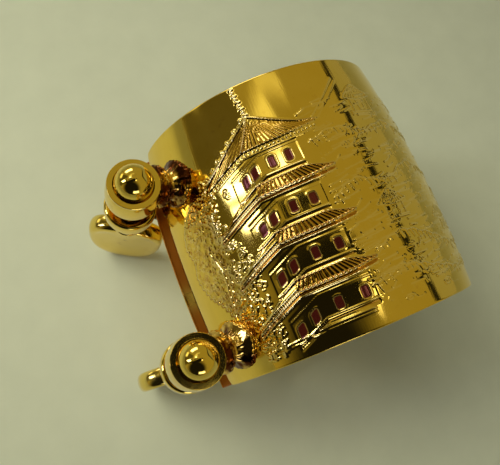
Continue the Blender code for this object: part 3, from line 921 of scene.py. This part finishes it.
def make_paddle(prefix):
    """The flat thumb paddle: an oval with a rounded rim and a dished face on both sides."""
    angle = np.arange(PADDLE_STEPS) * 2 * np.pi / PADDLE_STEPS
    side = np.sign(np.cos(angle)) * np.abs(np.cos(angle)) ** PADDLE_ROUNDNESS
    rise = np.abs(np.sin(angle)) ** PADDLE_ROUNDNESS
    end = np.where(np.sin(angle) > 0, PADDLE_TOP, PADDLE_BOTTOM)
    across, height = PADDLE_HALF_WIDTH * side, PADDLE_WIDEST + (end - PADDLE_WIDEST) * rise
    loop = [(s, -t) for s, t in reversed(PADDLE_SECTION)] + PADDLE_SECTION[1:]
    neck = 1 - smooth(*PADDLE_NECK, height)
    rings = []
    for s, t in loop:
        dish = 1 - (1 - abs(t)) * (neck if s < PADDLE_RIM else 1.0)
        thick = np.ones(PADDLE_STEPS) * PADDLE_HALF_THICKNESS * np.sign(t) * dish
        rings.append(np.stack([across * s, thick, PADDLE_WIDEST + (height - PADDLE_WIDEST) * s], -1))
    turn = Matrix.Rotation(PADDLE_TURNS[prefix], 4, "Z")
    points = np.concatenate(rings) @ np.array(turn.to_3x3()).T + np.array(POSTS[prefix] + (0,))
    quads = grid_quads(len(loop), PADDLE_STEPS, closed=True)
    last = (len(loop) - 1) * PADDLE_STEPS
    polygons = [list(reversed(range(PADDLE_STEPS))), [last + i for i in range(PADDLE_STEPS)]]
    paddle = build_mesh(prefix + "_thumb_paddle_finish", to_world(points), quads, polygons)
    finish_piece(paddle, prefix + "_screw", (prefix + "_thumb_paddle",), SCREW_GOLD)


for post_name in POSTS:
    make_posts(post_name)
    for foot_kind in FEET:
        make_foot(post_name, foot_kind)
    make_shank(post_name)
    make_paddle(post_name)

# ---------------------------------------------------------------- floor
FLOOR_HALF_SIZE, FLOOR_GRAIN = 3.0, 260
FLOOR_COLOURS = ((0.50, 0.512, 0.320), (0.57, 0.582, 0.366))


def make_floor():
    size = FLOOR_HALF_SIZE
    corners = [(-size, -size, 0), (size, -size, 0), (size, size, 0), (-size, size, 0)]
    floor = build_mesh("floor", np.array(corners), [[0, 1, 2, 3]])
    material, tree, shader = new_material("pale_floor")
    shader.inputs["Roughness"].default_value = 0.9
    shader.inputs["Specular IOR Level"].default_value = 0.1
    colour = mixed(tree, noise(tree, FLOOR_GRAIN, 3, rough=0.5), *FLOOR_COLOURS)
    tree.links.new(colour, shader.inputs["Base Color"])
    floor.data.materials.append(material)


make_floor()

# ---------------------------------------------------------------- studio
# Soft panels and dark flags round the object, each by the direction it is seen in.
# box, sweep, sweep_line: azimuth, elevation, half width, half height, softness in degrees, radiance.
# A sweep falls away to both sides.
# cap: azimuth, elevation, radius, unused, softness, radiance.
# block: X and Y of the direction, half width, half height, softness, radiance.
ROOM = (0.33, 0.275, 0.085)
DARK = (0.010, 0.009, 0.006)
PANELS = [
    ("sweep", 8, 0, 32, 32, 1.5, (0.31, 0.295, 0.17)),
    ("sweep_line", 8, 35.5, 32, 3.6, 0.8, (0.012, 0.012, 0.008)),
    ("box", 150, 24, 26, 24, 3, (0.10, 0.085, 0.03)),
    ("box", 131, 9, 9, 6, 4, (1.6, 1.5, 0.9)),
    ("box", 112, 58, 16, 5, 4, (1.0, 0.93, 0.5)),
    ("box", 84, 53, 15, 3, 3, (0.75, 0.68, 0.33)),
    ("box", -32, 80, 16, 3.5, 2, (2.6, 2.4, 1.8)),
    ("box", 95, 22, 16, 7, 4, (4.5, 4.5, 4.6)),
    ("cap", -128, 38, 44, 0, 12, DARK),
    ("box", -98, 17, 14, 6, 4, (3.4, 3.4, 3.6)),
    ("block", -0.235, 0.415, 0.165, 0.015, 0.008, (1.1, 1.0, 0.6)),
    ("block", -0.70, 0.40, 0.10, 0.015, 0.008, (1.1, 1.0, 0.6)),
    ("block", -0.255, 0.365, 0.085, 0.028, 0.008, (4.2, 4.4, 5.5)),
    ("block", -0.81, 0.346, 0.09, 0.026, 0.008, (6.5, 7.0, 9.5)),
    ("block", -0.81, 0.258, 0.09, 0.038, 0.008, (6.5, 7.0, 9.5)),
    ("block", -0.28, 0.292, 0.22, 0.012, 0.005, (1.2, 1.1, 0.6)),
    ("block", 0.14, 0.065, 0.03, 0.018, 0.006, (2.6, 2.4, 1.6)),
    ("block", 0.17, -0.095, 0.06, 0.025, 0.006, (3.0, 2.8, 2.0)),
    ("block", -0.315, 0.24, 0.185, 0.04, 0.01, DARK),
    ("block", -0.325, -0.015, 0.425, 0.14, 0.02, DARK),
    ("block", 0.16, 0.012, 0.11, 0.064, 0.012, DARK),
]
SWEEP_BEND, SWEEP_SOFTNESS = 34.0, 12.0
BACKDROP = (0.37, 0.37, 0.27)
FLOOR_DIMMING = -0.8
DEGREES = 180 / math.pi


def toward(azimuth, elevation):
    """The unit vector of a direction given in degrees."""
    a, e = math.radians(azimuth), math.radians(elevation)
    return Vector((math.cos(a) * math.cos(e), math.sin(a) * math.cos(e), math.sin(e)))


def make_world():
    world = bpy.data.worlds.new("studio")
    bpy.context.scene.world = world
    world.use_nodes = True
    tree = world.node_tree
    nodes, links = tree.nodes, tree.links
    nodes.clear()
    calc = partial(math_node, tree)

    direction = nodes.new("ShaderNodeTexCoord").outputs["Generated"]
    split = nodes.new("ShaderNodeSeparateXYZ")
    links.new(direction, split.inputs[0])
    x, y, z = split.outputs
    azimuth = calc("MULTIPLY", calc("ARCTAN2", y, x), DEGREES)
    elevation = calc("MULTIPLY", calc("ARCSINE", z), DEGREES)

    def falls(value, half, soft):
        """1 while value is below half and 0 above it, over a soft edge."""
        return map_range(tree, value, half - soft, half + soft, 1.0, 0.0, "SMOOTHSTEP")

    def apart(value, centre):
        return calc("ABSOLUTE", calc("SUBTRACT", value, float(centre)))

    def block_mask(px, py, half_x, half_y, soft):
        flat = calc("MULTIPLY", falls(apart(x, px), half_x, soft), falls(apart(y, py), half_y, soft))
        return calc("MULTIPLY", flat, calc("GREATER_THAN", z, 0.0))

    def cap_mask(az, el, radius, _, soft):
        dot = nodes.new("ShaderNodeVectorMath")
        dot.operation = "DOT_PRODUCT"
        links.new(direction, dot.inputs[0])
        dot.inputs[1].default_value = toward(az, el)
        cosine = calc("MINIMUM", dot.outputs["Value"], 0.99999)
        return falls(calc("MULTIPLY", calc("ARCCOSINE", cosine), DEGREES), radius, soft)

    def panel_mask(kind, az, el, half_az, half_el, soft):
        aside = calc("ABSOLUTE", calc("WRAP", calc("SUBTRACT", azimuth, float(az)), 180.0, -180.0))
        if kind == "box":
            high = falls(apart(elevation, el), half_el, soft)
            return calc("MULTIPLY", falls(aside, half_az, soft), high)
        level = calc("ADD", elevation, calc("DIVIDE", calc("MULTIPLY", aside, aside), SWEEP_BEND))
        high = falls(level if kind == "sweep" else apart(level, el), half_el, soft)
        return calc("MULTIPLY", falls(aside, half_az, SWEEP_SOFTNESS), high)

    colour = ROOM
    for kind, *place, radiance in PANELS:
        if kind == "block":
            mask = block_mask(*place)
        elif kind == "cap":
            mask = cap_mask(*place)
        else:
            mask = panel_mask(kind, *place)
        colour = mixed(tree, mask, colour, radiance)

    seen = nodes.new("ShaderNodeLightPath")
    shader = nodes.new("ShaderNodeBackground")
    dimming = calc("MULTIPLY", seen.outputs["Is Diffuse Ray"], FLOOR_DIMMING)
    links.new(calc("ADD", dimming, 1.0), shader.inputs["Strength"])
    links.new(mixed(tree, seen.outputs["Is Camera Ray"], colour, BACKDROP), shader.inputs["Color"])
    output = nodes.new("ShaderNodeOutputWorld")
    links.new(shader.outputs[0], output.inputs["Surface"])


make_world()


def aim(thing, azimuth, elevation, distance=0.0, target=(0, 0)):
    """Puts a light at a distance in metres from a point on the floor in millimetres, facing it.

    Its mirror image is left to the panels.
    """
    back = toward(azimuth, elevation)
    thing.location = Vector((target[0], target[1], 0)) * MM + back * distance
    thing.rotation_mode = "QUATERNION"
    thing.rotation_quaternion = back.to_track_quat("Z", "Y")
    thing.visible_glossy = False
    bpy.context.scene.collection.objects.link(thing)


def make_light(name, azimuth, elevation, distance, size, power, spread, target=(0, 0)):
    """A soft round light."""
    light = bpy.data.lights.new(name, "AREA")
    light.shape = "DISK"
    light.size = size
    light.energy = power
    light.spread = math.radians(spread)
    aim(bpy.data.objects.new(name, light), azimuth, elevation, distance, target)


def make_sun(name, azimuth, elevation, softness, strength):
    """A wide even light, so that the floor stays pale on every side of the object."""
    light = bpy.data.lights.new(name, "SUN")
    light.angle = math.radians(softness)
    light.energy = strength
    aim(bpy.data.objects.new(name, light), azimuth, elevation)


make_light("key_light", azimuth=142, elevation=50, distance=0.17, size=0.10, power=0.0265, spread=60,
           target=(-16, 18))
make_light("fill_light", azimuth=-140, elevation=60, distance=0.40, size=0.30, power=0.025, spread=80)
make_sun("room_light", azimuth=148, elevation=60, softness=60, strength=0.85)

# ---------------------------------------------------------------- camera
TARGET = (-5.42, 1.29, 0.0)
DISTANCE, LENS = 63.34, 43.2
AZIMUTH, ELEVATION, ROLL = math.radians(61.25), math.radians(68.85), math.radians(40.18)


def make_camera():
    forward = Vector((math.sin(AZIMUTH) * math.cos(ELEVATION), math.cos(AZIMUTH) * math.cos(ELEVATION),
                      -math.sin(ELEVATION)))
    right = Vector((math.cos(AZIMUTH), -math.sin(AZIMUTH), 0))
    up = right.cross(forward)
    turned_right = math.cos(ROLL) * right + math.sin(ROLL) * up
    turned_up = -math.sin(ROLL) * right + math.cos(ROLL) * up
    camera = bpy.data.objects.new("camera", bpy.data.cameras.new("camera"))
    camera.data.lens = LENS
    camera.data.sensor_width = 36
    camera.data.clip_start = 0.001
    rotation = Matrix((turned_right, turned_up, -forward)).transposed().to_4x4()
    rotation.translation = Vector(TARGET) * MM + AXIS - DISTANCE * MM * forward
    camera.matrix_world = rotation
    bpy.context.scene.collection.objects.link(camera)
    bpy.context.scene.camera = camera
    bpy.context.scene.view_settings.view_transform = "Standard"


make_camera()
